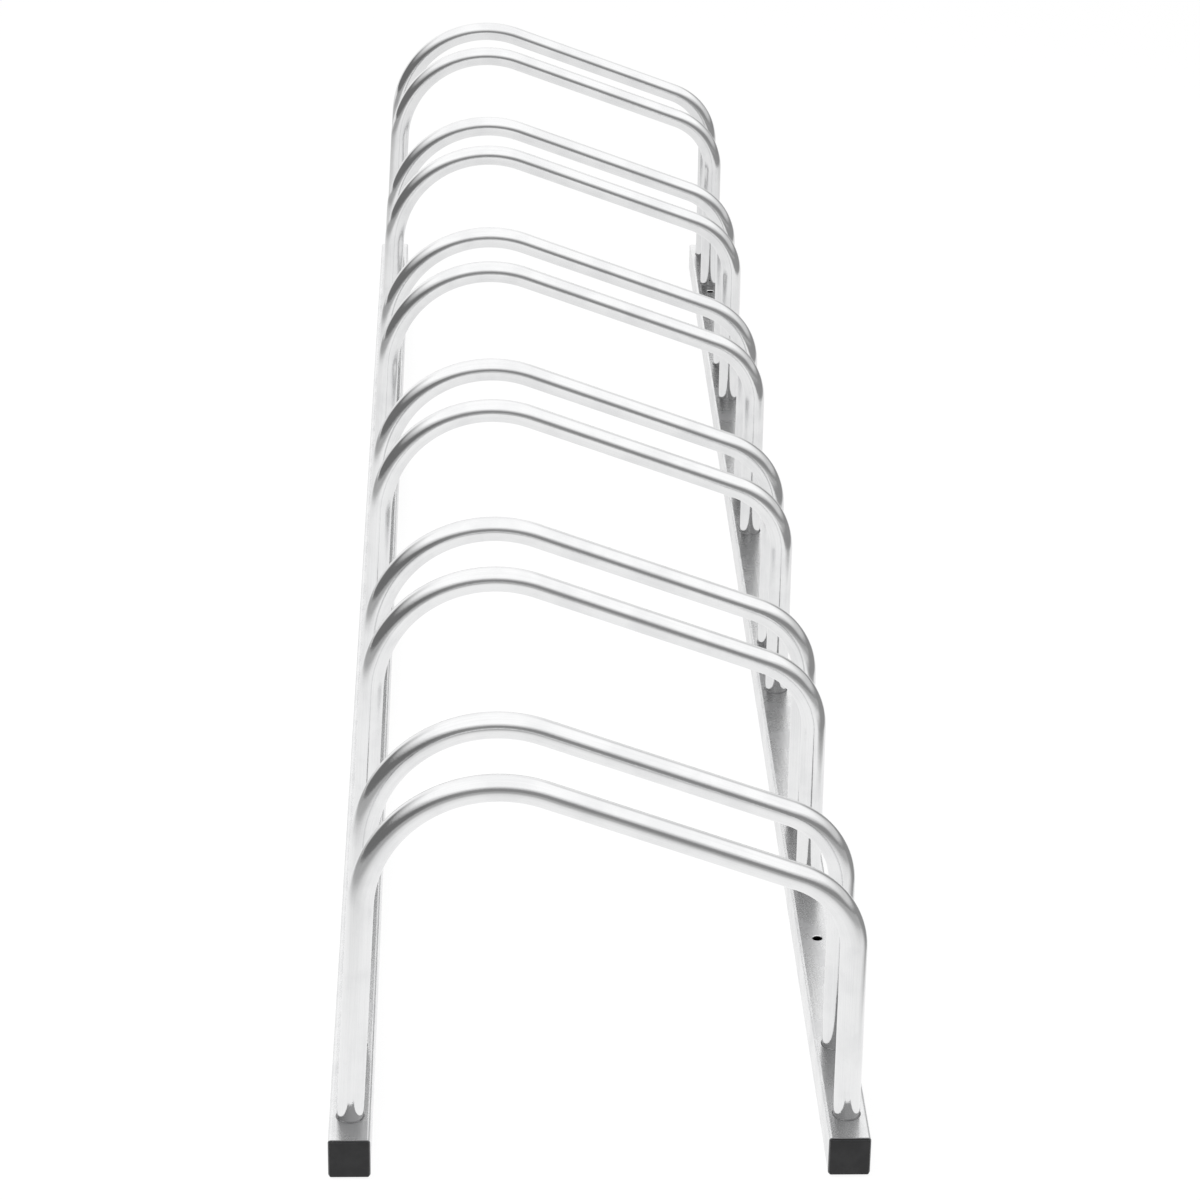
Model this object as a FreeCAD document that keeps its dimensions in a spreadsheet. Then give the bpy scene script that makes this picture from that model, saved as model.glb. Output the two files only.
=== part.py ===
import FreeCAD, Part
import math
import os
import sys

import Sketcher
from FreeCAD import Rotation, Vector

# Six-place floor rack for bicycles, in millimetres.
# Frame: +Y runs along the rails, the hoops' high shoulders are on the -X side, +Z is up.
# The origin is on the floor, midway between the rails and halfway along them.

os.makedirs("parts", exist_ok=True)
doc = FreeCAD.newDocument("hoop_bike_rack")

# Driving dimensions: name, value, meaning. Lengths in millimetres, angles in degrees.
SIZES = [
    ("rail_side", 25.0, "outer side of the square rail tube"),
    ("rail_wall", 1.5, "wall of the rail tube"),
    ("rail_corner", 2.0, "outer corner radius of the rail tube"),
    ("rail_length", 1596.0, "cut length of a rail tube, without its caps"),
    ("rail_spacing", 295.0, "distance between the two rails, centre to centre"),
    ("tube_diameter", 16.0, "outer diameter of the hoop tube"),
    ("tube_wall", 1.2, "wall of the hoop tube"),
    ("slot_clear", 65.0, "clear width of a wheel slot, between the two tubes of a pair"),
    ("slot_count", 6.0, "number of wheel slots, evenly spread along the rails"),
    ("end_margin", 19.5, "rail left clear between its cut end and the nearest hoop tube"),
    ("rack_height", 251.0, "height of the hoops' high shoulder above the floor"),
    ("shoulder_bend", 80.0, "bend radius of the high shoulder, on the tube's centre line"),
    ("low_bend", 50.0, "bend radius of the low shoulder, on the tube's centre line"),
    ("bar_slope", 20.0, "fall of the top bar below the horizontal, in degrees"),
    ("leg_lean", 3.0, "inward lean of the high leg from the vertical, in degrees"),
    ("foot_trim", 3.0, "length left on the leaning leg for its level trim cut"),
    ("weld_leg", 1.5, "leg length of the weld bead round a hoop foot"),
    ("weld_lip", 0.4, "width of the bead's top edge, against the tube"),
    ("anchor_hole", 6.5, "diameter of the anchor holes through the rails"),
    ("anchor_front", 240.0, "first anchor hole, from the front end of the rail tube"),
    ("anchor_rear", 132.0, "second anchor hole, from the rear end of the rail tube"),
    ("edge_break", 0.4, "bevel on the rail tube's cut ends and on the anchor holes' upper rims"),
    ("cap_head", 2.0, "thickness of an end cap's head"),
    ("cap_inset", 0.5, "how far the head stands back from the rail tube's outline, all round"),
    ("cap_edge", 0.8, "bevel round the head's outer face"),
    ("plug_length", 15.0, "length of the plug that goes into the rail"),
    ("plug_wall", 1.5, "wall of the hollow plug"),
    ("plug_corner", 2.0, "corner radius of the plug and its ribs"),
    ("plug_play", 0.15, "clearance between the plug's ribs and the rail's inner wall"),
    ("rib_height", 1.4, "how far the ribs stand out from the plug"),
    ("rib_thickness", 1.0, "thickness of a rib"),
    ("rib_pitch", 4.0, "distance from one rib to the next"),
    ("rib_count", 3.0, "number of ribs on a plug"),
    ("rib_start", 3.0, "distance from the head's seat to the first rib"),
    ("least_corner", 0.3, "smallest radius of an inner corner"),
]

sheet = doc.addObject("Spreadsheet::Sheet", "sizes")
for row, (alias, value, meaning) in enumerate(SIZES, start=1):
    sheet.set(f"A{row}", alias)
    sheet.set(f"B{row}", str(value))
    sheet.set(f"C{row}", meaning)
    sheet.setAlias(f"B{row}", alias)
doc.recompute()


def size(alias):
    # The value that the sheet holds under this name.
    return float(sheet.get(alias))


# Expressions that several pieces share.
INNER_SIDE = "(sizes.rail_side - 2 * sizes.rail_wall)"
INNER_CORNER = "max(sizes.rail_corner - sizes.rail_wall; sizes.least_corner)"
HEAD_SIDE = "(sizes.rail_side - 2 * sizes.cap_inset)"
HEAD_CORNER = "max(sizes.rail_corner - sizes.cap_inset; sizes.least_corner)"
TUBE_RADIUS = "sizes.tube_diameter / 2"
PAIR_GAP = "(sizes.slot_clear + sizes.tube_diameter)"
FIRST_SLOT = f"(sizes.end_margin + {TUBE_RADIUS} + {PAIR_GAP} / 2)"
SLOT_PITCH = f"((sizes.rail_length - 2 * {FIRST_SLOT}) / max(sizes.slot_count - 1; 1))"
LEAN = "(sizes.leg_lean * 1 deg)"
SLOPE = "(sizes.bar_slope * 1 deg)"
RIB_SIDE = f"({INNER_SIDE} - 2 * sizes.plug_play)"
PLUG_SIDE = f"({RIB_SIDE} - 2 * sizes.rib_height)"
HOLLOW_SIDE = f"({PLUG_SIDE} - 2 * sizes.plug_wall)"
HOLLOW_CORNER = "max(sizes.plug_corner - sizes.plug_wall; sizes.least_corner)"
# How far above and below the rail's top a hoop's leg is cut out of its weld bead.
BEAD_CUT = "(3 * sizes.weld_leg)"
# The largest part of a corner radius, a wall or the cap's head that a bevel may take.
BEVEL_SHARE = 0.9

# Which side of the rack each rail is on.
SIDES = {"left": -1, "right": 1}


def new_body(label):
    body = doc.addObject("PartDesign::Body", label)
    body.Label = label
    return body


def new_sketch(body, name, role, lift=None):
    # A sketch on one of the body's own origin planes, lifted along the plane's normal.
    plane = [feature for feature in body.Origin.OriginFeatures if feature.Role == role][0]
    sketch = body.newObject("Sketcher::SketchObject", f"{body.Name}_{name}")
    sketch.AttachmentSupport = [(plane, "")]
    sketch.MapMode = "FlatFace"
    if lift is not None:
        sketch.setExpression("AttachmentOffset.Base.z", lift)
    return sketch


def bind(sketch, name, expression, *constraint):
    # Add a named dimension to the sketch and tie it to the sheet.
    index = sketch.addConstraint(Sketcher.Constraint(*constraint))
    sketch.renameConstraint(index, name)
    sketch.setExpression(f"Constraints.{name}", expression)


def add_circle(sketch, name, radius, centre, start):
    # A circle at a driven place. The start values are a first guess of the radius and centre.
    circle = sketch.addGeometry(Part.Circle(Vector(start[1], start[2], 0), Vector(0, 0, 1), start[0]), False)
    bind(sketch, f"{name}_radius", radius, "Radius", circle, start[0])
    for axis, kind, expression, guess in zip("xy", ("DistanceX", "DistanceY"), centre, start[1:]):
        if expression is None:
            on_axis = -1 if axis == "y" else -2
            sketch.addConstraint(Sketcher.Constraint("PointOnObject", circle, 3, on_axis))
        else:
            bind(sketch, f"{name}_{axis}", expression, kind, -1, 1, circle, 3, guess)


def add_rounded_square(sketch, name, side, corner, side_guess, corner_guess):
    # A square with rounded corners, centred on the sketch's origin.
    half = side_guess / 2
    inset = half - corner_guess
    first = None
    for turn in range(4):
        rotation = Rotation(Vector(0, 0, 1), 90 * turn)
        start = rotation.multVec(Vector(-inset, -half, 0))
        end = rotation.multVec(Vector(inset, -half, 0))
        centre = rotation.multVec(Vector(inset, -inset, 0))
        edge = sketch.addGeometry(Part.LineSegment(start, end), False)
        circle = Part.Circle(centre, Vector(0, 0, 1), corner_guess)
        low = math.radians(90 * turn - 90)
        sketch.addGeometry(Part.ArcOfCircle(circle, low, low + math.pi / 2), False)
        first = edge if first is None else first
    lines = [first + 2 * turn for turn in range(4)]
    arcs = [line + 1 for line in lines]
    for turn in range(4):
        following = lines[(turn + 1) % 4]
        sketch.addConstraint(Sketcher.Constraint("Tangent", lines[turn], 2, arcs[turn], 1))
        sketch.addConstraint(Sketcher.Constraint("Tangent", arcs[turn], 2, following, 1))
    for turn in range(3):
        sketch.addConstraint(Sketcher.Constraint("Equal", arcs[turn], arcs[turn + 1]))
    for turn, kind in enumerate(("Horizontal", "Vertical", "Horizontal", "Vertical")):
        sketch.addConstraint(Sketcher.Constraint(kind, lines[turn]))
    sketch.addConstraint(Sketcher.Constraint("Symmetric", arcs[0], 3, arcs[2], 3, -1, 1))
    bind(sketch, f"{name}_corner", corner, "Radius", arcs[0], corner_guess)
    bind(sketch, f"{name}_width", side, "DistanceX", lines[3], 1, lines[1], 2, side_guess)
    bind(sketch, f"{name}_height", side, "DistanceY", lines[0], 1, lines[2], 2, side_guess)


def make_rail(side):
    # Square tube along Y, drilled through its top and bottom walls for two floor anchors.
    body = new_body(f"{side}_rail")
    section = new_sketch(body, "section", "XZ_Plane")
    inner_side = size("rail_side") - 2 * size("rail_wall")
    inner_corner = max(size("rail_corner") - size("rail_wall"), size("least_corner"))
    add_rounded_square(
        section, "outer", "sizes.rail_side", "sizes.rail_corner", size("rail_side"), size("rail_corner")
    )
    add_rounded_square(section, "inner", INNER_SIDE, INNER_CORNER, inner_side, inner_corner)
    tube = body.newObject("PartDesign::Pad", f"{body.Name}_tube")
    tube.Profile = section
    tube.SideType = "Symmetric"
    tube.setExpression("Length", "sizes.rail_length")
    holes = new_sketch(body, "anchor_holes", "XY_Plane", "sizes.rail_side / 2")
    half_length = size("rail_length") / 2
    radius = size("anchor_hole") / 2
    places = {
        "front": ("sizes.rail_length / 2 - sizes.anchor_front", half_length - size("anchor_front"), -1),
        "rear": ("sizes.rail_length / 2 - sizes.anchor_rear", half_length - size("anchor_rear"), 1),
    }
    for name, (expression, reach, way) in places.items():
        circle = Part.Circle(Vector(0, way * reach, 0), Vector(0, 0, 1), radius)
        hole = holes.addGeometry(circle, False)
        bind(holes, f"{name}_radius", "sizes.anchor_hole / 2", "Radius", hole, radius)
        holes.addConstraint(Sketcher.Constraint("PointOnObject", hole, 3, -2))
        ends = (-1, 1, hole, 3) if way > 0 else (hole, 3, -1, 1)
        bind(holes, f"{name}_place", expression, "DistanceY", *ends, reach)
    drilling = body.newObject("PartDesign::Pocket", f"{body.Name}_drilling")
    drilling.Profile = holes
    drilling.Type = "ThroughAll"
    body.Tip = drilling
    doc.recompute()
    # The saw cuts' outer edges and the holes' upper rims are broken.
    top = size("rail_side") / 2
    sharp = []
    for number, edge in enumerate(drilling.Shape.Edges, start=1):
        box = edge.BoundBox
        reach = max(abs(box.XMin), box.XMax, abs(box.ZMin), box.ZMax)
        cut_end = box.YLength < 1e-6 and abs(abs(box.YMin) - half_length) < 1e-6
        rim = edge.isClosed() and abs(box.ZMin - top) < 1e-6
        if rim or (cut_end and reach > inner_side / 2 + 1e-6):
            sharp.append(f"Edge{number}")
    breaking = body.newObject("PartDesign::Chamfer", f"{body.Name}_broken_edges")
    breaking.Base = (drilling, sharp)
    limits = f"sizes.rail_corner * {BEVEL_SHARE}; sizes.rail_wall * {BEVEL_SHARE}"
    breaking.setExpression("Size", f"min(sizes.edge_break; {limits})")
    body.Tip = breaking
    body.setExpression("Placement.Base.x", f"{SIDES[side]} * sizes.rail_spacing / 2")
    body.setExpression("Placement.Base.z", "sizes.rail_side / 2")
    return body


def hoop_points():
    # First guess of the hoop's centre line in the X-Z plane, from the leaning leg to the upright one:
    # a leg, the high shoulder's arc, the sloping bar, the low shoulder's arc, the other leg.
    lean = math.radians(size("leg_lean"))
    slope = math.radians(size("bar_slope"))
    leg = Vector(math.sin(lean), math.cos(lean), 0)
    bar = Vector(math.cos(slope), -math.sin(slope), 0)
    high, low = size("shoulder_bend"), size("low_bend")
    half = size("rail_spacing") / 2
    foot = Vector(-half, size("rail_side"), 0)
    start = foot - leg * (size("foot_trim") / math.cos(lean))
    # The high arc's centre lies one radius inside the leg, at the height that the shoulder needs.
    inside = Vector(math.cos(lean), -math.sin(lean), 0)
    centre_height = size("rack_height") - size("tube_diameter") / 2 - high
    climb = (centre_height - foot.y - inside.y * high) / leg.y
    high_start = foot + leg * climb
    high_centre = high_start + inside * high
    outward = Vector(math.sin(slope), math.cos(slope), 0)
    high_end = high_centre + outward * high
    # The low arc touches the bar and the upright leg.
    low_centre_x = half - low
    run = (low_centre_x + outward.x * low - high_end.x) / bar.x
    low_start = high_end + bar * run
    low_centre = low_start - outward * low
    low_end = Vector(half, low_centre.y, 0)
    end = Vector(half, size("rail_side"), 0)
    return start, high_start, high_centre, high_end, low_start, low_centre, low_end, end


def make_hoop(label, slot, half_gap):
    # One bent tube in a plane across the rails, both feet standing on the rails' top faces.
    body = new_body(label)
    start, high_start, high_centre, high_end, low_start, low_centre, low_end, end = hoop_points()
    lean, slope = math.radians(size("leg_lean")), math.radians(size("bar_slope"))
    normal = Vector(0, 0, 1)
    path = new_sketch(body, "path", "XZ_Plane")
    leg = path.addGeometry(Part.LineSegment(start, high_start), False)
    high_circle = Part.Circle(high_centre, normal, size("shoulder_bend"))
    high = path.addGeometry(Part.ArcOfCircle(high_circle, math.pi / 2 - slope, math.pi - lean), False)
    bar = path.addGeometry(Part.LineSegment(high_end, low_start), False)
    low_circle = Part.Circle(low_centre, normal, size("low_bend"))
    low = path.addGeometry(Part.ArcOfCircle(low_circle, 0, math.pi / 2 - slope), False)
    upright = path.addGeometry(Part.LineSegment(low_end, end), False)
    for joint in ((leg, 2, high, 2), (high, 1, bar, 1), (bar, 2, low, 2), (low, 1, upright, 1)):
        path.addConstraint(Sketcher.Constraint("Tangent", *joint))
    path.addConstraint(Sketcher.Constraint("Vertical", upright))
    foot_reach = f"sizes.rail_spacing / 2 + sizes.foot_trim * tan({LEAN})"
    centre_height = f"sizes.rack_height - {TUBE_RADIUS} - sizes.shoulder_bend"
    bind(path, "high_bend", "sizes.shoulder_bend", "Radius", high, size("shoulder_bend"))
    bind(path, "low_bend", "sizes.low_bend", "Radius", low, size("low_bend"))
    bind(path, "height", centre_height, "DistanceY", -1, 1, high, 3, high_centre.y)
    bind(path, "foot_x", foot_reach, "DistanceX", leg, 1, -1, 1, -start.x)
    bind(path, "foot_z", "sizes.rail_side - sizes.foot_trim", "DistanceY", -1, 1, leg, 1, start.y)
    bind(path, "upright_x", "sizes.rail_spacing / 2", "DistanceX", -1, 1, upright, 2, end.x)
    bind(path, "upright_z", "sizes.rail_side", "DistanceY", -1, 1, upright, 2, end.y)
    bind(path, "lean", f"90 deg - {LEAN}", "Angle", -1, 1, leg, 1, math.pi / 2 - lean)
    bind(path, "slope", SLOPE, "Angle", bar, 1, -1, 1, slope)
    # The tube's ring section stands square to the upright leg, on the rail's top face.
    section = new_sketch(body, "section", "XY_Plane", "sizes.rail_side")
    outer = size("tube_diameter") / 2
    centre = ("sizes.rail_spacing / 2", None)
    add_circle(section, "outer", TUBE_RADIUS, centre, (outer, end.x, 0))
    inner = outer - size("tube_wall")
    add_circle(section, "inner", f"{TUBE_RADIUS} - sizes.tube_wall", centre, (inner, end.x, 0))
    doc.recompute()
    tube = body.newObject("PartDesign::AdditivePipe", f"{label}_tube")
    tube.Profile = section
    tube.Spine = (path, [f"Edge{number}" for number in range(1, 6)])
    doc.recompute()
    # The leaning leg is cut level, so that it stands flat on the rail.
    cut = new_sketch(body, "level_cut", "XY_Plane", "sizes.rail_side")
    add_circle(cut, "cut", "sizes.tube_diameter", ("-sizes.rail_spacing / 2", None), (2 * outer, -end.x, 0))
    trim = body.newObject("PartDesign::Pocket", f"{label}_trim")
    trim.Profile = cut
    trim.Type = "ThroughAll"
    body.Tip = trim
    centre_slot = "(sizes.slot_count + 1) / 2"
    place = f"({slot} - {centre_slot}) * {SLOT_PITCH} + {half_gap} * {PAIR_GAP} / 2"
    body.setExpression("Placement.Base.y", place)
    return body


def make_welds(side, hoops):
    # A fillet bead on the rail's top face, round the foot of each hoop.
    beads = []
    foot_x = f"{SIDES[side]} * sizes.rail_spacing / 2"
    lean = LEAN if side == "left" else "(0 deg)"
    for hoop in hoops:
        ring = doc.addObject("Part::Cone", f"{side}_ring_{hoop.Name}")
        ring.setExpression("Radius1", f"{TUBE_RADIUS} + sizes.weld_leg")
        ring.setExpression("Radius2", f"{TUBE_RADIUS} + sizes.weld_lip")
        ring.setExpression("Height", "sizes.weld_leg")
        ring.setExpression("Placement.Base.x", foot_x)
        ring.setExpression("Placement.Base.y", f"{hoop.Name}.Placement.Base.y")
        ring.setExpression("Placement.Base.z", "sizes.rail_side")
        # The leg's own outline is taken out of the ring, so the bead seats on the tube.
        leg = doc.addObject("Part::Cylinder", f"{side}_leg_{hoop.Name}")
        leg.Placement.Rotation = Rotation(Vector(0, 1, 0), 1)
        leg.setExpression("Placement.Rotation.Angle", lean)
        leg.setExpression("Radius", TUBE_RADIUS)
        leg.setExpression("Height", f"2 * {BEAD_CUT}")
        leg.setExpression("Placement.Base.x", f"{foot_x} - {BEAD_CUT} * sin({lean})")
        leg.setExpression("Placement.Base.y", f"{hoop.Name}.Placement.Base.y")
        leg.setExpression("Placement.Base.z", f"sizes.rail_side - {BEAD_CUT} * cos({lean})")
        bead = doc.addObject("Part::Cut", f"{side}_bead_{hoop.Name}")
        bead.Base = ring
        bead.Tool = leg
        beads.append(bead)
    welds = doc.addObject("Part::Compound", f"{side}_rail_welds")
    welds.Label = f"{side}_rail_welds"
    welds.Links = beads
    return welds


def make_cap(side, end):
    # Push-in cap: a thin head, a little smaller than the rail tube, and a hollow, ribbed plug inside it.
    body = new_body(f"{side}_{end}_cap")
    outline = new_sketch(body, "head_outline", "XZ_Plane")
    head_side = size("rail_side") - 2 * size("cap_inset")
    head_corner = max(size("rail_corner") - size("cap_inset"), size("least_corner"))
    add_rounded_square(outline, "head", HEAD_SIDE, HEAD_CORNER, head_side, head_corner)
    head = body.newObject("PartDesign::Pad", f"{body.Name}_head")
    head.Profile = outline
    head.setExpression("Length", "sizes.cap_head")
    rib_side = size("rail_side") - 2 * size("rail_wall") - 2 * size("plug_play")
    plug_side = rib_side - 2 * size("rib_height")
    hollow_side = plug_side - 2 * size("plug_wall")
    corner = size("plug_corner")
    hollow_corner = max(corner - size("plug_wall"), size("least_corner"))
    shank = new_sketch(body, "plug_section", "XZ_Plane")
    add_rounded_square(shank, "plug", PLUG_SIDE, "sizes.plug_corner", plug_side, corner)
    add_rounded_square(shank, "hollow", HOLLOW_SIDE, HOLLOW_CORNER, hollow_side, hollow_corner)
    plug = body.newObject("PartDesign::Pad", f"{body.Name}_plug")
    plug.Profile = shank
    plug.Reversed = True
    plug.setExpression("Length", "sizes.plug_length")
    ring = new_sketch(body, "rib_outline", "XZ_Plane", "-sizes.rib_start")
    add_rounded_square(ring, "rib", RIB_SIDE, "sizes.plug_corner", rib_side, corner)
    add_rounded_square(ring, "hollow", HOLLOW_SIDE, HOLLOW_CORNER, hollow_side, hollow_corner)
    rib = body.newObject("PartDesign::Pad", f"{body.Name}_rib")
    rib.Profile = ring
    rib.Reversed = True
    rib.setExpression("Length", "sizes.rib_thickness")
    doc.recompute()
    along = [feature for feature in body.Origin.OriginFeatures if feature.Role == "Y_Axis"][0]
    ribs = body.newObject("PartDesign::LinearPattern", f"{body.Name}_ribs")
    ribs.Originals = [rib]
    ribs.Direction = (along, [""])
    ribs.Mode = "Spacing"
    ribs.setExpression("Offset", "sizes.rib_pitch")
    ribs.setExpression("Occurrences", "sizes.rib_count")
    body.Tip = ribs
    doc.recompute()
    # The head is bevelled all the way round its outer face.
    face_y = -size("cap_head")
    rim = []
    for number, edge in enumerate(ribs.Shape.Edges, start=1):
        box = edge.BoundBox
        if abs(box.YMin - face_y) < 1e-6 and abs(box.YMax - face_y) < 1e-6:
            rim.append(f"Edge{number}")
    bevel = body.newObject("PartDesign::Chamfer", f"{body.Name}_bevel")
    bevel.Base = (ribs, rim)
    limits = f"{HEAD_CORNER} * {BEVEL_SHARE}; sizes.cap_head * {BEVEL_SHARE}"
    bevel.setExpression("Size", f"min(sizes.cap_edge; {limits})")
    body.Tip = bevel
    way = -1 if end == "front" else 1
    if end == "rear":
        body.Placement.Rotation = Rotation(Vector(0, 0, 1), 180)
    body.setExpression("Placement.Base.x", f"{SIDES[side]} * sizes.rail_spacing / 2")
    body.setExpression("Placement.Base.y", f"{way} * sizes.rail_length / 2")
    body.setExpression("Placement.Base.z", "sizes.rail_side / 2")
    return body


nodes = [make_rail(side) for side in SIDES]
hoops = []
for slot in range(1, int(size("slot_count")) + 1):
    for place, half_gap in (("front", -1), ("back", 1)):
        hoops.append(make_hoop(f"hoop_{slot}_{place}", slot, half_gap))
nodes += hoops
nodes += [make_welds(side, hoops) for side in SIDES]
for side in SIDES:
    for end in ("front", "rear"):
        nodes.append(make_cap(side, end))
doc.recompute()

for item in doc.Objects:
    if "Invalid" in item.State or "Error" in item.State:
        sys.exit(f"{item.Label} did not recompute: {item.State}")
for node in nodes:
    shape = node.Shape
    if shape.isNull() or not shape.isValid() or shape.Volume <= 0:
        sys.exit(f"{node.Label} has no sound solid")

for node in nodes:
    shape = node.Shape
    shape.exportStep(f"parts/{node.Label}.step")
    print(f"{node.Label}: {len(shape.Solids)} solids, {shape.Volume / 1000:.2f} cm3")
whole = Part.Compound([node.Shape for node in nodes]).optimalBoundingBox(False)
print(f"whole: {whole.XLength:.1f} x {whole.YLength:.1f} x {whole.ZLength:.1f} mm")
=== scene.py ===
import math

import bpy
import numpy as np
from mathutils import Matrix, Vector


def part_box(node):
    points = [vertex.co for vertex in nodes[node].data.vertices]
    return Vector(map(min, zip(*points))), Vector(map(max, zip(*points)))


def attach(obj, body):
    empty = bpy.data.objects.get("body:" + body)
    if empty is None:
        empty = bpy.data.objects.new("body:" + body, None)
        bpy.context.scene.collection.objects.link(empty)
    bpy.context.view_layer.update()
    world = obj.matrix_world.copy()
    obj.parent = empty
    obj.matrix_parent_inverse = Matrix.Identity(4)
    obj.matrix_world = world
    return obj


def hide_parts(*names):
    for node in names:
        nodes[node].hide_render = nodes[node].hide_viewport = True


# Floor rack for six bicycles: bright zinc-plated hoops on two square rails, with black push-in caps.
# Metres. +Y runs along the rails, the high shoulders are on the -X side, and the floor is z = 0.

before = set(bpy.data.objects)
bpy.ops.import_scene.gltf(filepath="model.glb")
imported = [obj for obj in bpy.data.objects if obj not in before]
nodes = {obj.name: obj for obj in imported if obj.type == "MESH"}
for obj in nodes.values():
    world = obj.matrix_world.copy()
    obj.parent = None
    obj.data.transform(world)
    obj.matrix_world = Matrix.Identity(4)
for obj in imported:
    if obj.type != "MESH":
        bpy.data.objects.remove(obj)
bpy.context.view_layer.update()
print("frame loaded:", len(nodes), "nodes")

sides = ("left", "right")
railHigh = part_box("left_rail")[1]
railTop = railHigh.z
railCentreX = {"left": sum(v.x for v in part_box("left_rail")) / 2,
               "right": sum(v.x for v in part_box("right_rail")) / 2}
hoopNames = sorted(name for name in nodes if name.startswith("hoop_"))
hoopY = {name: sum(v.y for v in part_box(name)) / 2 for name in hoopNames}


# mesh helpers

def addMesh(name, verts, faces, material):
    mesh = bpy.data.meshes.new(name)
    verts = np.asarray(verts, np.float32)
    faces = np.asarray(faces, np.int32)
    mesh.vertices.add(len(verts))
    mesh.vertices.foreach_set("co", verts.ravel())
    mesh.loops.add(faces.size)
    mesh.loops.foreach_set("vertex_index", faces.ravel())
    mesh.polygons.add(len(faces))
    mesh.polygons.foreach_set("loop_start", np.arange(len(faces), dtype=np.int32) * faces.shape[1])
    mesh.polygons.foreach_set("use_smooth", np.full(len(faces), True))
    mesh.update(calc_edges=True)
    mesh.validate()
    piece = bpy.data.objects.new(name, mesh)
    bpy.context.scene.collection.objects.link(piece)
    mesh.materials.append(material)
    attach(piece, "root")
    return piece


def gridFaces(rows, columns, flip=False):
    # quads of a grid that closes on itself both ways: each row to the next, each column to the next
    i, j = np.meshgrid(np.arange(rows), np.arange(columns), indexing="ij")
    a = i * columns + j
    b = i * columns + (j + 1) % columns
    c = ((i + 1) % rows) * columns + (j + 1) % columns
    d = ((i + 1) % rows) * columns + j
    quads = np.stack([a, b, c, d], -1).reshape(-1, 4)
    return quads[:, ::-1] if flip else quads


def setVectors(piece, name, values):
    layer = piece.data.attributes.new(name, "FLOAT_VECTOR", "POINT")
    layer.data.foreach_set("vector", np.asarray(values, np.float32).ravel())


# node helpers

def clearTree(owner, outputKind):
    owner.use_nodes = True
    tree = owner.node_tree
    tree.nodes.clear()
    return tree, tree.nodes.new(outputKind)


def newMaterial(name):
    material = bpy.data.materials.new(name)
    tree, output = clearTree(material, "ShaderNodeOutputMaterial")
    shader = tree.nodes.new("ShaderNodeBsdfPrincipled")
    tree.links.new(shader.outputs[0], output.inputs[0])
    return material, tree, shader


def feed(tree, sockets, values):
    # a number or a colour is set on its socket, an output is linked to it
    for socket, value in zip(sockets, values):
        if isinstance(value, (int, float)):
            socket.default_value = value
        elif isinstance(value, tuple):
            socket.default_value = (*value, 1)
        else:
            tree.links.new(value, socket)


def addNoise(tree, vector, scale, detail, roughness, stretch=None, shift=None):
    if stretch is not None:
        mapping = tree.nodes.new("ShaderNodeMapping")
        mapping.inputs["Scale"].default_value = stretch
        if shift is not None:
            mapping.inputs["Location"].default_value = shift
        tree.links.new(vector, mapping.inputs["Vector"])
        vector = mapping.outputs[0]
    noise = tree.nodes.new("ShaderNodeTexNoise")
    noise.inputs["Scale"].default_value = scale
    noise.inputs["Detail"].default_value = detail
    noise.inputs["Roughness"].default_value = roughness
    tree.links.new(vector, noise.inputs["Vector"])
    return noise.outputs[0]


def remap(tree, value, fromLow, fromHigh, toLow, toHigh, smooth=True):
    node = tree.nodes.new("ShaderNodeMapRange")
    node.interpolation_type = "SMOOTHSTEP" if smooth else "LINEAR"
    feed(tree, node.inputs[:5], (value, fromLow, fromHigh, toLow, toHigh))
    return node.outputs[0]


def mathNode(tree, operation, first, second):
    node = tree.nodes.new("ShaderNodeMath")
    node.operation = operation
    feed(tree, node.inputs[:2], (first, second))
    return node.outputs[0]


def blend(tree, factor, first, second):
    # a number that goes from first to second as factor goes from 0 to 1
    node = tree.nodes.new("ShaderNodeMix")
    feed(tree, node.inputs[2:4], (first, second))
    tree.links.new(factor, node.inputs[0])
    return node.outputs[0]


def mixColour(tree, factor, first, second):
    node = tree.nodes.new("ShaderNodeMix")
    node.data_type = "RGBA"
    feed(tree, node.inputs[6:8], (first, second))
    tree.links.new(factor, node.inputs[0])
    return node.outputs[2]


def mixShaders(tree, share, first, second):
    node = tree.nodes.new("ShaderNodeMixShader")
    feed(tree, node.inputs, (share, first.outputs[0], second.outputs[0]))
    return node


def splitAxes(tree, vector):
    node = tree.nodes.new("ShaderNodeSeparateXYZ")
    tree.links.new(vector, node.inputs[0])
    return node.outputs


def addBump(tree, height, distance, normal=None):
    bump = tree.nodes.new("ShaderNodeBump")
    bump.inputs["Strength"].default_value = 1.0
    bump.inputs["Distance"].default_value = distance
    tree.links.new(height, bump.inputs["Height"])
    if normal is not None:
        tree.links.new(normal, bump.inputs["Normal"])
    return bump.outputs[0]


def along(tree, vector, way):
    # how far the vector reaches in a given direction
    node = tree.nodes.new("ShaderNodeVectorMath")
    node.operation = "DOT_PRODUCT"
    tree.links.new(vector, node.inputs[0])
    node.inputs[1].default_value = way
    return node.outputs["Value"]


# bright zinc plating; a noise is given here as its scale, detail and roughness

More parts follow.
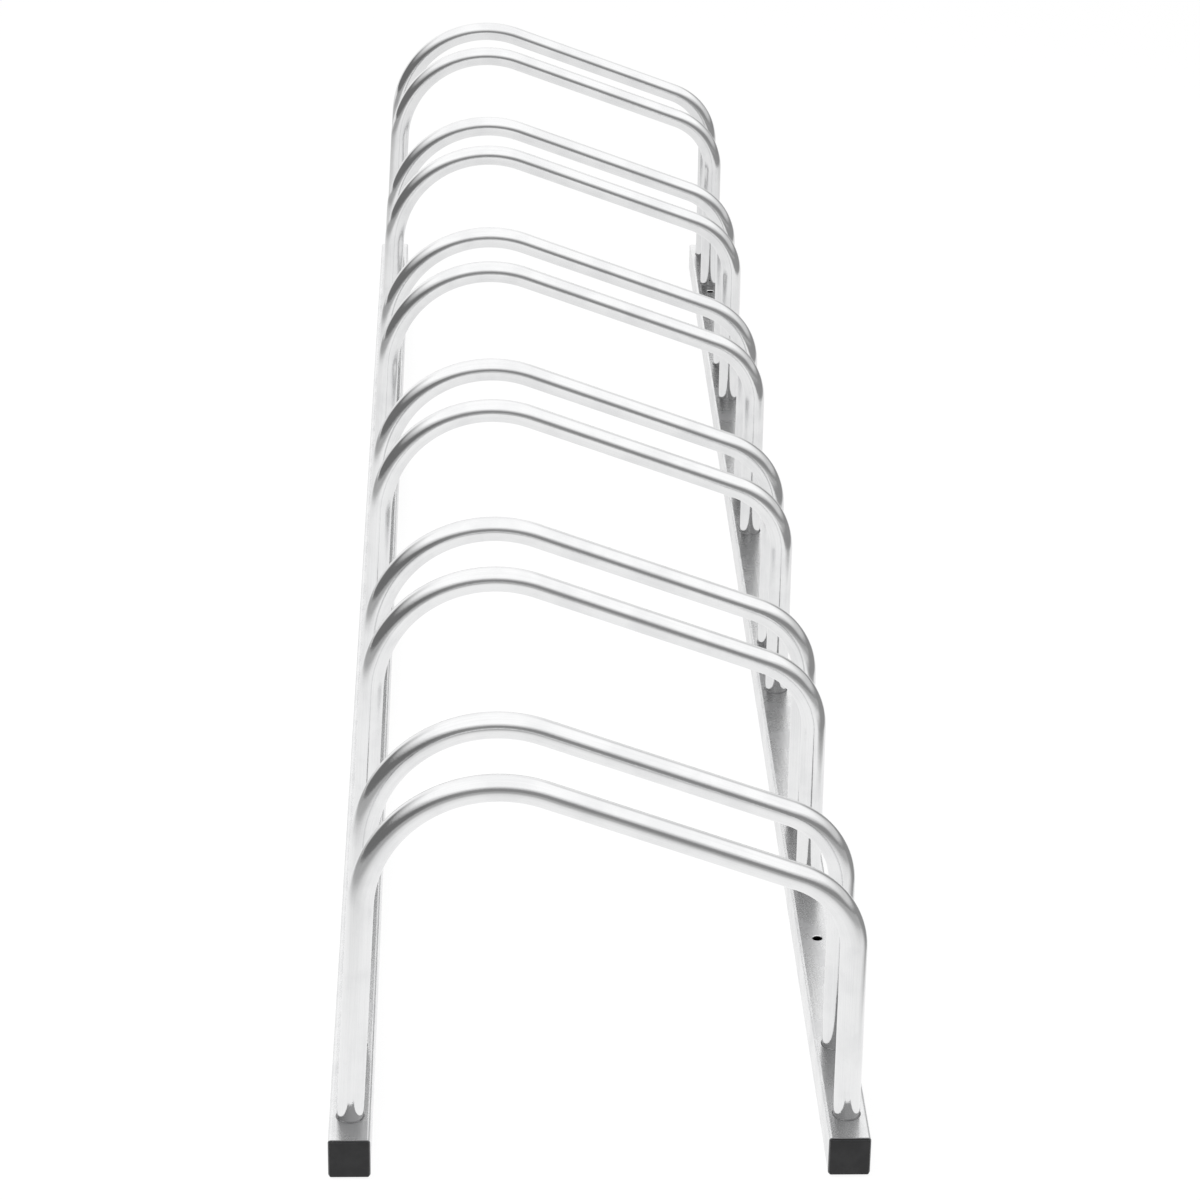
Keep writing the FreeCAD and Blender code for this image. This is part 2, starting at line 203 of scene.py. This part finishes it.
zincLook = {
    "pale": (0.86, 0.862, 0.865), "dull": (0.76, 0.763, 0.77), "bare": (0.22, 0.22, 0.225), "bareGloss": 0.5,
    "hoopGloss": (0.07, 0.16), "railGloss": (0.22, 0.34), "drawBump": 0.00004, "pittingBump": 0.00003,
    "lines": (1400, 3, 0.6), "lineRun": 0.012, "lineEdge": (0.35, 0.7), "lineShare": 0.3,
    "drawing": (330, 2, 0.5), "drawRun": 0.06, "drawShift": (0.3, 0.7, 0.1),
    "clouds": (38, 5, 0.55), "cloudEdge": (0.38, 0.66), "cloudShare": 0.55,
    "grain": (900, 4, 0.65), "grainEdge": (0.3, 0.75), "hazeShare": 0.5, "sawnEnd": (0.0006, 0.0003),
}


def makeZinc(name, coordinates, runAxis, gloss, cutEnd=None):
    # drawn lines are long on the axis of the coordinates that runs down the tube; past cutEnd the steel is
    # bare and dull, as the saw left it
    look = zincLook
    material, tree, shader = newMaterial(name)
    if coordinates is None:
        source = tree.nodes.new("ShaderNodeTexCoord").outputs["Object"]
    else:
        attribute = tree.nodes.new("ShaderNodeAttribute")
        attribute.attribute_name = coordinates
        source = attribute.outputs["Vector"]
    fine = [1.0, 1.0, 1.0]
    fine[runAxis] = look["lineRun"]
    coarse = [1.0, 1.0, 1.0]
    coarse[runAxis] = look["drawRun"]
    lines = addNoise(tree, source, *look["lines"], tuple(fine))
    drawing = addNoise(tree, source, *look["drawing"], tuple(coarse), look["drawShift"])
    clouds = addNoise(tree, source, *look["clouds"])
    grain = addNoise(tree, source, *look["grain"])
    cloudMask = remap(tree, clouds, *look["cloudEdge"], 0, 1)
    lineMask = remap(tree, lines, *look["lineEdge"], 0, 1)
    mask = mathNode(tree, "ADD", mathNode(tree, "MULTIPLY", cloudMask, look["cloudShare"]),
                    mathNode(tree, "MULTIPLY", lineMask, look["lineShare"]))
    colour = mixColour(tree, mask, look["pale"], look["dull"])
    haze = mathNode(tree, "ADD", mathNode(tree, "MULTIPLY", cloudMask, look["hazeShare"]),
                    mathNode(tree, "MULTIPLY", remap(tree, grain, *look["grainEdge"], 0, 1),
                             look["hazeShare"]))
    rough = remap(tree, haze, 0, 1, *gloss, False)
    if cutEnd is not None:
        distance = mathNode(tree, "ABSOLUTE", splitAxes(tree, source)["Y"], 0.0)
        bare = remap(tree, distance, *cutEnd, 0.0, 1.0)
        colour = mixColour(tree, bare, colour, look["bare"])
        rough = blend(tree, bare, rough, look["bareGloss"])
    tree.links.new(colour, shader.inputs["Base Color"])
    tree.links.new(rough, shader.inputs["Roughness"])
    shader.inputs["Metallic"].default_value = 1.0
    drawn = addBump(tree, drawing, look["drawBump"])
    tree.links.new(addBump(tree, grain, look["pittingBump"], drawn), shader.inputs["Normal"])
    return material


hoopZinc = makeZinc("hoopZinc", "tubeRun", 2, zincLook["hoopGloss"])
sawnEnd = [railHigh.y - inset for inset in zincLook["sawnEnd"]]
railZinc = makeZinc("railZinc", None, 1, zincLook["railGloss"], sawnEnd)
print("zinc made")


# weld metal under the plating: duller and rougher than the tube

weldLook = {
    "speckle": (1500, 4, 0.6), "speckleEdge": (0.3, 0.7), "patches": (260, 3, 0.5), "patchEdge": (0.35, 0.65),
    "pale": (0.34, 0.34, 0.345), "dull": (0.18, 0.18, 0.185), "gloss": (0.34, 0.55), "bump": 0.00006,
}


def makeWeldMetal():
    look = weldLook
    material, tree, shader = newMaterial("weldMetal")
    source = tree.nodes.new("ShaderNodeTexCoord").outputs["Object"]
    speckle = addNoise(tree, source, *look["speckle"])
    patches = addNoise(tree, source, *look["patches"])
    mask = remap(tree, patches, *look["patchEdge"], 0, 1)
    colour = mixColour(tree, mask, look["pale"], look["dull"])
    tree.links.new(colour, shader.inputs["Base Color"])
    tree.links.new(remap(tree, speckle, *look["speckleEdge"], *look["gloss"]), shader.inputs["Roughness"])
    shader.inputs["Metallic"].default_value = 1.0
    tree.links.new(addBump(tree, speckle, look["bump"]), shader.inputs["Normal"])
    return material


# black moulded plastic, finely spark-eroded, with a few paler scuffs

plasticLook = {
    "texture": (2600, 3, 0.6), "textureEdge": (0.3, 0.7), "clouds": (120, 4, 0.5), "cloudEdge": (0.35, 0.65),
    "scuffs": (700, 3, 0.6), "scuffStretch": (1.0, 1.0, 0.12), "scuffShift": (0.2, 0.4, 0.6),
    "scuffEdge": (0.66, 0.78), "scuffShare": 0.35, "scuffed": (0.060, 0.060, 0.062),
    "dark": (0.016, 0.016, 0.017), "pale": (0.023, 0.023, 0.024),
    "gloss": (0.42, 0.6), "specular": 0.35, "bump": 0.00005,
}


def makeCapPlastic():
    look = plasticLook
    material, tree, shader = newMaterial("capPlastic")
    source = tree.nodes.new("ShaderNodeTexCoord").outputs["Object"]
    texture = addNoise(tree, source, *look["texture"])
    clouds = addNoise(tree, source, *look["clouds"])
    scuffs = addNoise(tree, source, *look["scuffs"], look["scuffStretch"], look["scuffShift"])
    base = mixColour(tree, remap(tree, clouds, *look["cloudEdge"], 0, 1), look["dark"], look["pale"])
    scuffMask = mathNode(tree, "MULTIPLY", remap(tree, scuffs, *look["scuffEdge"], 0, 1), look["scuffShare"])
    colour = mixColour(tree, scuffMask, base, look["scuffed"])
    tree.links.new(colour, shader.inputs["Base Color"])
    tree.links.new(remap(tree, texture, *look["textureEdge"], *look["gloss"]), shader.inputs["Roughness"])
    shader.inputs["Specular IOR Level"].default_value = look["specular"]
    tree.links.new(addBump(tree, texture, look["bump"]), shader.inputs["Normal"])
    return material


weldMetal = makeWeldMetal()
capPlastic = makeCapPlastic()


# hoops: a round tube carried along the bent centre line

firstLow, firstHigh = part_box("hoop_1_front")
hoopShape = {
    "radius": (firstHigh.y - firstLow.y) / 2, "wall": 0.0012, "height": firstHigh.z,
    "highBend": 0.080, "lowBend": 0.050, "slope": math.radians(20), "lean": math.radians(3),
    "around": 56, "turnStep": math.radians(1.6), "straightStep": 0.006, "endRing": 0.0006,
    "patternShift": (0.05, 0.03),
}


def hoopLine(shape):
    # centre line in the X-Z plane: leg, high arc, falling bar, low arc, upright leg
    lean, slope = shape["lean"], shape["slope"]
    leg = np.array([math.sin(lean), math.cos(lean)])
    bar = np.array([math.cos(slope), -math.sin(slope)])
    inside = np.array([math.cos(lean), -math.sin(lean)])
    outward = np.array([math.sin(slope), math.cos(slope)])
    foot = np.array([railCentreX["left"], railTop])
    centreZ = shape["height"] - shape["radius"] - shape["highBend"]
    climb = (centreZ - foot[1] - inside[1] * shape["highBend"]) / leg[1]
    highCentre = foot + leg * climb + inside * shape["highBend"]
    highEnd = highCentre + outward * shape["highBend"]
    run = (railCentreX["right"] - shape["lowBend"] + outward[0] * shape["lowBend"] - highEnd[0]) / bar[0]
    lowStart = highEnd + bar * run
    lowCentre = lowStart - outward * shape["lowBend"]

    def straight(start, direction, length):
        steps = np.linspace(0, length, max(int(length / shape["straightStep"]), 2), endpoint=False)
        return start + steps[:, None] * direction, np.tile(direction, (len(steps), 1)), steps

    def arc(centre, radius, first, last):
        angles = np.linspace(first, last, int(abs(last - first) / shape["turnStep"]), endpoint=False)
        points = centre + radius * np.stack([np.cos(angles), np.sin(angles)], -1)
        return points, np.stack([np.sin(angles), -np.cos(angles)], -1), radius * abs(angles - first)

    runs = [
        (straight(foot, leg, climb), climb),
        (arc(highCentre, shape["highBend"], math.pi - lean, math.pi / 2 - slope),
         shape["highBend"] * (math.pi / 2 - lean + slope)),
        (straight(highEnd, bar, run), run),
        (arc(lowCentre, shape["lowBend"], math.pi / 2 - slope, 0), shape["lowBend"] * (math.pi / 2 - slope)),
    ]
    drop = lowCentre[1] - railTop
    last = straight(np.array([railCentreX["right"], lowCentre[1]]), np.array([0.0, -1.0]), drop)
    runs.append((last, drop))
    points, tangents, lengths, done = [], [], [], 0.0
    for (part, direction, travelled), length in runs:
        points.append(part)
        tangents.append(direction)
        lengths.append(travelled + done)
        done += length
    points.append(np.array([[railCentreX["right"], railTop]]))
    tangents.append(np.array([[0.0, -1.0]]))
    lengths.append(np.array([done]))
    points, tangents, lengths = np.concatenate(points), np.concatenate(tangents), np.concatenate(lengths)
    # a second ring close to each cut end keeps the wall's shading straight down to the cut
    near = shape["endRing"]
    order = np.argsort(np.append(lengths, [near, done - near]))
    extra = np.array([foot + leg * near, [railCentreX["right"], railTop + near]])
    points = np.concatenate([points, extra])[order]
    tangents = np.concatenate([tangents, [leg, [0.0, -1.0]]])[order]
    return points, tangents, np.sort(np.append(lengths, [near, done - near]))


def tubeRings(points, tangents, y, radius, turns):
    # ring point = centre + radius (cos t Y + sin t N), with N square to the line in its own plane
    centre = np.stack([points[:, 0], np.full(len(points), y), points[:, 1]], -1)
    normal = np.stack([-tangents[:, 1], np.zeros(len(points)), tangents[:, 0]], -1)
    sideways = np.array([0.0, 1.0, 0.0])
    return centre[:, None] + radius * (np.cos(turns)[None, :, None] * sideways
                                       + np.sin(turns)[None, :, None] * normal[:, None])


def cutLevel(ring, tangent, height):
    # slides each point of an end ring along the tube until it lies at this height
    direction = np.array([tangent[0], 0.0, tangent[1]])
    return ring + ((height - ring[:, 2]) / direction[2])[:, None] * direction


def makeHoop(name, order):
    shape = hoopShape
    points, tangents, lengths = hoopLine(shape)
    turns = np.linspace(0, 2 * math.pi, shape["around"], endpoint=False)
    outer = tubeRings(points, tangents, hoopY[name], shape["radius"], turns)
    inner = tubeRings(points, tangents, hoopY[name], shape["radius"] - shape["wall"], turns)
    for wall in (outer, inner):
        for end in (0, -1):
            wall[end] = cutLevel(wall[end], tangents[end], railTop)
    rings = np.concatenate([outer, inner[::-1]])
    rows = len(rings)
    faces = gridFaces(rows, shape["around"])
    piece = addMesh(name + "_tube", rings.reshape(-1, 3), faces, hoopZinc)
    # straightened coordinates, so that the drawn lines follow the tube round its bends, shifted from hoop
    # to hoop so that no two are marked alike
    run = np.concatenate([lengths, lengths[::-1]])
    flat = np.zeros((rows, shape["around"], 3))
    flat[..., 0] = shape["radius"] * np.cos(turns) + shape["patternShift"][0] * order
    flat[..., 1] = shape["radius"] * np.sin(turns) + shape["patternShift"][1] * order
    flat[..., 2] = run[:, None]
    setVectors(piece, "tubeRun", flat.reshape(-1, 3))
    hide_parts(name)


for order, name in enumerate(hoopNames):
    makeHoop(name, order)
print("hoops made:", len(hoopNames))


# weld beads: a rippled fillet carried round each foot

beadShape = {
    "leg": 0.0006, "bulge": 0.00004, "ripple": 0.00006, "ripples": 30, "rippleMean": 0.6, "skew": 1.9,
    "wander": 0.15, "waveMix": (0.6, 0.4), "widthWaves": (2, 5), "heightWaves": (3, 4), "slant": 0.7071,
    "sunk": 0.0001, "around": 200, "acrossFace": 10, "acrossBack": 2, "firstSeed": {"left": 40, "right": 0},
}


def beadRings(centreX, centreY, lean, seed, shape):
    # section = a straight fillet from toe to top, bulged outwards as sin(pi s) and notched by the ripples;
    # it closes down the tube and out along the rail. t runs round the foot, s across the bead's face.
    tubeRadius = hoopShape["radius"]
    t = np.linspace(0, 2 * math.pi, shape["around"], endpoint=False)[:, None]
    s = np.linspace(0, 1, shape["acrossFace"])[None, :]
    rng = np.random.default_rng(seed)
    phase = rng.uniform(0, 2 * math.pi, 4)

    def wandering(waves, first, second):
        # the leg's length round the foot, with a slow and a quick wave on it
        slow, quick = shape["waveMix"]
        mixed = slow * np.sin(waves[0] * t + first) + quick * np.sin(waves[1] * t + second)
        return shape["leg"] * (1 + shape["wander"] * mixed)

    width = wandering(shape["widthWaves"], phase[0], phase[1])
    height = wandering(shape["heightWaves"], phase[2], phase[3])
    scales = shape["ripples"] * t + phase[1] - shape["skew"] * (2 * s - 1) ** 2
    scallop = np.abs(np.sin(scales / 2)) - shape["rippleMean"]
    bulge = np.sin(math.pi * s) * (shape["bulge"] + shape["ripple"] * scallop)
    out = tubeRadius + width * (1 - s) + shape["slant"] * bulge
    up = height * s + shape["slant"] * bulge
    back = np.linspace(1, 0, shape["acrossBack"] + 1)[None, 1:]
    wallOut = np.full_like(back * t, tubeRadius - shape["sunk"])
    wallUp = height * back
    outward = np.linspace(0, 1, shape["acrossBack"] + 1)[None, 1:-1]
    baseOut = tubeRadius + width * outward
    baseUp = np.zeros_like(baseOut)
    rho = np.concatenate([out, wallOut, baseOut], 1)
    rise = np.concatenate([up, wallUp, baseUp], 1)
    x = centreX + rho * np.cos(t) + rise * math.tan(lean)
    y = centreY + rho * np.sin(t)
    return np.stack([x, y, railTop + rise], -1)


def makeBeads(side):
    lean = hoopShape["lean"] if side == "left" else 0.0
    verts, faces, offset = [], [], 0
    for order, name in enumerate(hoopNames):
        seed = beadShape["firstSeed"][side] + order
        rings = beadRings(railCentreX[side], hoopY[name], lean, seed, beadShape)
        rows, columns = rings.shape[:2]
        verts.append(rings.reshape(-1, 3))
        faces.append(gridFaces(rows, columns) + offset)
        offset += rows * columns
    piece = addMesh(side + "_beads", np.concatenate(verts), np.concatenate(faces), weldMetal)
    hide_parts(side + "_rail_welds")


for side in sides:
    makeBeads(side)
print("weld beads made")


# end caps: rounded-square rings carried along the cap's axis, from the head's face to the hollow plug

# how far the head lies inside the rail's outline
headInset = 0.0007

capShape = {
    "side": railTop - 2 * headInset, "corner": 0.0011, "head": 0.0020, "edge": 0.0006, "crown": 0.00015,
    "faceShares": (0.02, 0.2, 0.4, 0.6, 0.8, 0.93), "faceCorner": 0.5, "rimRings": 7, "rimCorner": 0.6,
    "ease": 0.0003, "backEdge": 0.0001,
    "plug": 0.0150, "ribSide": 0.0217, "plugSide": 0.0189, "wall": 0.0015, "plugCorner": 0.0020,
    "ribStart": 0.0030, "ribPitch": 0.0040, "ribThickness": 0.0010, "ribSlope": 0.0002, "ribs": 3,
    "mouthOut": (0.0005, 0.0002), "mouthIn": (0.0004, 0.0006), "hollowCorner": 0.0005,
    "floorRounding": (0.0008, 0.0004), "floorCorner": 0.0004, "floorMiddle": (0.02, 0.0001),
    "cornerSteps": 8, "sideSteps": 6,
}


def roundedSquare(side, corner, cornerSteps, sideSteps):
    # one turn round a square with rounded corners, for arrays of side and corner
    half = np.atleast_1d(side)[:, None] / 2
    corner = np.atleast_1d(corner)[:, None]
    inset = half - corner
    parts = []
    for quarter in range(4):
        angle = np.linspace(0, math.pi / 2, cornerSteps, endpoint=False)[None, :] + quarter * math.pi / 2
        sx, sz = ((1, 1), (-1, 1), (-1, -1), (1, -1))[quarter]
        arcX = sx * inset + corner * np.cos(angle)
        arcZ = sz * inset + corner * np.sin(angle)
        parts.append(np.stack([arcX, arcZ], -1))
        nx, nz = ((-1, 1), (-1, -1), (1, -1), (1, 1))[quarter]
        endAngle = (quarter + 1) * math.pi / 2
        startX = sx * inset + corner * math.cos(endAngle)
        startZ = sz * inset + corner * math.sin(endAngle)
        endX = nx * inset + corner * math.cos(endAngle)
        endZ = nz * inset + corner * math.sin(endAngle)
        share = np.linspace(0, 1, sideSteps, endpoint=False)[None, :]
        parts.append(np.stack([startX + (endX - startX) * share, startZ + (endZ - startZ) * share], -1))
    return np.concatenate(parts, 1)


def capProfile(shape):
    # (side, corner, depth) from the middle of the face, over the rim, down the head and the ribbed plug,
    # round the plug's mouth and back up the hollow to its floor
    side, corner, edge, seat = shape["side"], shape["corner"], shape["edge"], shape["head"]
    plugSide, plugCorner, ease = shape["plugSide"], shape["plugCorner"], shape["ease"]
    rows = []
    for share in shape["faceShares"]:
        rows.append((share * (side - 2 * edge), share * corner * shape["faceCorner"],
                     -shape["crown"] * (1 - share ** 2)))
    for angle in np.linspace(0, math.pi / 2, shape["rimRings"]):
        inward = edge * (1 - math.sin(angle))
        rows.append((side - 2 * inward, corner - inward * shape["rimCorner"], edge * (1 - math.cos(angle))))
    rows.append((side, corner, seat - ease))
    rows.append((side - shape["backEdge"], corner, seat))
    rows.append((plugSide, plugCorner, seat))
    for rib in range(shape["ribs"]):
        start = seat + shape["ribStart"] + rib * shape["ribPitch"]
        stop = start + shape["ribThickness"]
        rows.append((plugSide, plugCorner, start))
        rows.append((shape["ribSide"], plugCorner, start + shape["ribSlope"]))
        rows.append((shape["ribSide"], plugCorner, stop - shape["ribSlope"]))
        rows.append((plugSide, plugCorner, stop))
    end = seat + shape["plug"]
    hollow = plugSide - 2 * shape["wall"]
    rows.append((plugSide, plugCorner, end - ease))
    rows.append((plugSide - shape["mouthOut"][0], plugCorner - shape["mouthOut"][1], end))
    rows.append((hollow + shape["mouthIn"][0], shape["mouthIn"][1], end))
    rows.append((hollow, shape["hollowCorner"], end - ease))
    rows.append((hollow, shape["hollowCorner"], seat + shape["floorRounding"][1]))
    rows.append((hollow - shape["floorRounding"][0], shape["floorCorner"], seat))
    rows.append((hollow * shape["floorMiddle"][0], shape["floorMiddle"][1], seat))
    return np.array(rows)


def makeCap(side, end):
    shape = capShape
    profile = capProfile(shape)
    loops = roundedSquare(profile[:, 0], profile[:, 1], shape["cornerSteps"], shape["sideSteps"])
    rows, columns = loops.shape[:2]
    low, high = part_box(f"{side}_{end}_cap")
    way = 1 if end == "front" else -1
    face = low.y if end == "front" else high.y
    x = railCentreX[side] + loops[..., 0]
    y = np.broadcast_to((face + way * (profile[:, 2] - profile[0, 2]))[:, None], loops.shape[:2])
    z = railTop / 2 + loops[..., 1]
    verts = np.stack([x, y, z], -1).reshape(-1, 3)
    # the last row of quads would close the grid on itself, from the hollow's floor back to the face
    quads = gridFaces(rows, columns, flip=(way < 0))
    quads = quads.reshape(rows, columns, 4)[:-1].reshape(-1, 4)
    # the face's middle and the hollow's floor are closed by a fan each
    middle = np.array([[railCentreX[side], y[row, 0], railTop / 2] for row in (0, -1)])
    ring = np.arange(columns)
    following = (ring + 1) % columns
    base = rows * columns
    lastRow = (rows - 1) * columns
    first = np.stack([np.full(columns, base), following, ring], -1)
    last = np.stack([np.full(columns, base + 1), lastRow + ring, lastRow + following], -1)
    triangles = np.concatenate([first, last])
    if way < 0:
        triangles = triangles[:, ::-1]
    split = np.concatenate([quads[:, [0, 1, 2]], quads[:, [0, 2, 3]], triangles])
    piece = addMesh(f"{side}_{end}_plug", np.concatenate([verts, middle]), split, capPlastic)
    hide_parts(f"{side}_{end}_cap")


for side in sides:
    for end in ("front", "rear"):
        makeCap(side, end)
print("caps made")

for side in sides:
    for holder in nodes[side + "_rail"].material_slots:
        holder.material = railZinc
print("rails dressed")


# studio: white floor, a plain soft lamp, and a sky that only gloss sees. An edge is where a change starts and
# where it ends: in metres on the floor, and in the sky as how far a unit direction reaches that way.

studio = {
    "floorSize": 14.0, "floorDrop": 0.0004, "floorGlow": 0.82, "floorStrength": 1.09,
    "paper": (0.8, 0.8, 0.8, 1), "poolStretch": 0.65, "poolEdge": (0.55, 1.2), "poolDark": 0.45,
    "coveEdge": (0.7, 1.5), "fadeEdge": (-0.8, 0.4), "fadeLevel": (0.98, 0.89),
    "darkStripTurn": (1.0, -0.25, 0.0), "darkStripSide": (0.45, 0.57), "darkStripEnd": (-0.90, -0.62), "darkStripLevel": 0.30,
    "wallEdge": (-0.5, -0.1), "leftWall": 0.17, "backWall": 0.28, "oneBounce": 1.5, "secondGloss": 0.42,
    "sweepTurn": math.radians(-13), "sweepEdge": (0.62, 0.97), "sweepLevel": 1.05,
    "panelTurn": math.radians(80), "panelEdge": (0.70, 0.95), "panelFoot": (0.0, 0.20), "panelLevel": 0.68,
    "ceilingTilt": (0.04, -0.05, 1.0), "ceilingEdge": (0.34, 0.69), "ceilingLevel": 1.15,
    "lampPower": 52.0, "lampSize": 2.6, "lampPlace": (-0.7, -0.9, 2.7), "ambient": 0.54,
}


def makeFloor():
    half = studio["floorSize"] / 2
    mesh = bpy.data.meshes.new("studioFloor")
    corners = [(-half, -half, 0), (half, -half, 0), (half, half, 0), (-half, half, 0)]
    mesh.from_pydata(corners, [], [(0, 1, 2, 3)])
    floor = bpy.data.objects.new("studioFloor", mesh)
    bpy.context.scene.collection.objects.link(floor)
    floor.location.z = -studio["floorDrop"]
    material = bpy.data.materials.new("floorWhite")
    tree, output = clearTree(material, "ShaderNodeOutputMaterial")
    paths = tree.nodes.new("ShaderNodeLightPath")
    matt = tree.nodes.new("ShaderNodeBsdfDiffuse")
    matt.inputs["Color"].default_value = studio["paper"]
    # seen directly: mostly its own white, and a share of lit paper that keeps the shadow
    glow = tree.nodes.new("ShaderNodeEmission")
    glow.inputs["Strength"].default_value = studio["floorStrength"]
    direct = mixShaders(tree, studio["floorGlow"], matt, glow)
    # seen in the metal the floor shows a painted reflection, not its own white: white round the rack and
    # where the sweep rises behind it, darker out in the room, a little dimmer towards the far end, and
    # painted dark along the right from near the front end on
    place = tree.nodes.new("ShaderNodeTexCoord").outputs["Object"]
    squeeze = tree.nodes.new("ShaderNodeMapping")
    squeeze.inputs["Scale"].default_value = (1.0, studio["poolStretch"], 1.0)
    tree.links.new(place, squeeze.inputs["Vector"])
    distance = tree.nodes.new("ShaderNodeVectorMath")
    distance.operation = "LENGTH"
    tree.links.new(squeeze.outputs[0], distance.inputs[0])
    near = remap(tree, distance.outputs["Value"], *studio["poolEdge"], 1.0, studio["poolDark"])
    parts = splitAxes(tree, place)
    cove = remap(tree, parts["Y"], *studio["coveEdge"], 0.0, 1.0)
    fade = remap(tree, parts["Y"], *studio["fadeEdge"], *studio["fadeLevel"])
    level = mathNode(tree, "MULTIPLY", mathNode(tree, "MAXIMUM", near, cove), fade)
    # painted dark reflection along the right, standing in for a dark flag that is not there
    across = remap(tree, along(tree, place, studio["darkStripTurn"]), *studio["darkStripSide"], 0.0, 1.0)
    onward = remap(tree, parts["Y"], *studio["darkStripEnd"], 0.0, 1.0)
    level = blend(tree, mathNode(tree, "MULTIPLY", across, onward), level, studio["darkStripLevel"])
    mirrored = tree.nodes.new("ShaderNodeEmission")
    tree.links.new(level, mirrored.inputs["Strength"])
    mixed = mixShaders(tree, paths.outputs["Is Glossy Ray"], direct, mirrored)
    tree.links.new(mixed.outputs[0], output.inputs[0])
    mesh.materials.append(material)


def makeWorld():
    # What gloss sees, by direction: a white sweep behind the rack, a wide white ceiling light, dark walls,
    # and on the right a pale panel that fades out at its foot.
    world = bpy.data.worlds.new("studioWorld")
    bpy.context.scene.world = world
    tree, output = clearTree(world, "ShaderNodeOutputWorld")
    paths = tree.nodes.new("ShaderNodeLightPath")
    direction = tree.nodes.new("ShaderNodeTexCoord").outputs["Generated"]
    parts = splitAxes(tree, direction)
    level = tree.nodes.new("ShaderNodeCombineXYZ")
    tree.links.new(parts["X"], level.inputs["X"])
    tree.links.new(parts["Y"], level.inputs["Y"])
    bearing = tree.nodes.new("ShaderNodeVectorMath")
    bearing.operation = "NORMALIZE"
    tree.links.new(level.outputs[0], bearing.inputs[0])

    def towards(turn, edge):
        reach = along(tree, bearing.outputs["Vector"], (math.sin(turn), math.cos(turn), 0))
        return remap(tree, reach, *edge, 0.0, 1.0)

    def background(amount):
        node = tree.nodes.new("ShaderNodeBackground")
        feed(tree, [node.inputs["Strength"]], [amount])
        node.inputs["Color"].default_value = (1, 1, 1, 1)
        return node

    wall = remap(tree, parts["X"], *studio["wallEdge"], studio["leftWall"], studio["backWall"])
    panelFoot = remap(tree, parts["Z"], *studio["panelFoot"], 0.0, 1.0)
    panel = mathNode(tree, "MULTIPLY", towards(studio["panelTurn"], studio["panelEdge"]), panelFoot)
    wall = blend(tree, panel, wall, studio["panelLevel"])
    room = blend(tree, towards(studio["sweepTurn"], studio["sweepEdge"]), wall, studio["sweepLevel"])
    rise = remap(tree, along(tree, direction, studio["ceilingTilt"]), *studio["ceilingEdge"], 0.0, 1.0, False)
    strength = blend(tree, rise, room, studio["ceilingLevel"])
    # metal seen in metal, after more than one glossy bounce, is dimmer, as it is in the photo
    again = mathNode(tree, "GREATER_THAN", paths.outputs["Glossy Depth"], studio["oneBounce"])
    strength = mathNode(tree, "MULTIPLY", strength, blend(tree, again, 1.0, studio["secondGloss"]))
    gloss = background(strength)
    soft = background(studio["ambient"])
    white = background(1.0)
    seen = mixShaders(tree, paths.outputs["Is Camera Ray"], soft, white)
    mixed = mixShaders(tree, paths.outputs["Is Glossy Ray"], seen, gloss)
    tree.links.new(mixed.outputs[0], output.inputs[0])


def makeLamp():
    lamp = bpy.data.lights.new("ceilingLight", "AREA")
    lamp.shape = "SQUARE"
    lamp.size = studio["lampSize"]
    lamp.energy = studio["lampPower"]
    holder = bpy.data.objects.new("ceilingLight", lamp)
    bpy.context.scene.collection.objects.link(holder)
    place = Vector(studio["lampPlace"])
    holder.location = place
    holder.rotation_euler = (-place).to_track_quat("-Z", "Y").to_euler()
    holder.visible_glossy = False


makeFloor()
makeWorld()
makeLamp()
print("studio made")


# camera: worked out for a square 1200-pixel frame

cameraView = {
    "place": (-0.077293, -2.759384, 1.261484), "focal": 3909.456, "frame": 1200, "sensor": 36,
    "pitch": math.radians(24.354), "yaw": math.radians(2.115), "roll": math.radians(0.857),
    "clip": (0.05, 60),
}


def makeCamera(given):
    camera = bpy.data.cameras.new("photoView")
    camera.sensor_fit = "HORIZONTAL"
    camera.sensor_width = given["sensor"]
    camera.lens = given["focal"] / given["frame"] * given["sensor"]
    camera.clip_start, camera.clip_end = given["clip"]
    holder = bpy.data.objects.new("photoView", camera)
    bpy.context.scene.collection.objects.link(holder)
    pitch, yaw, roll = given["pitch"], given["yaw"], given["roll"]
    ahead = Vector((math.sin(yaw) * math.cos(pitch), math.cos(yaw) * math.cos(pitch), -math.sin(pitch)))
    level = Vector((math.cos(yaw), -math.sin(yaw), 0))
    upright = level.cross(ahead)
    right = math.cos(roll) * level + math.sin(roll) * upright
    top = -math.sin(roll) * level + math.cos(roll) * upright
    turned = Matrix((right, top, -ahead)).transposed().to_4x4()
    holder.matrix_world = Matrix.Translation(given["place"]) @ turned
    bpy.context.scene.camera = holder


makeCamera(cameraView)
bpy.context.scene.view_settings.view_transform = "Standard"
print("camera placed")
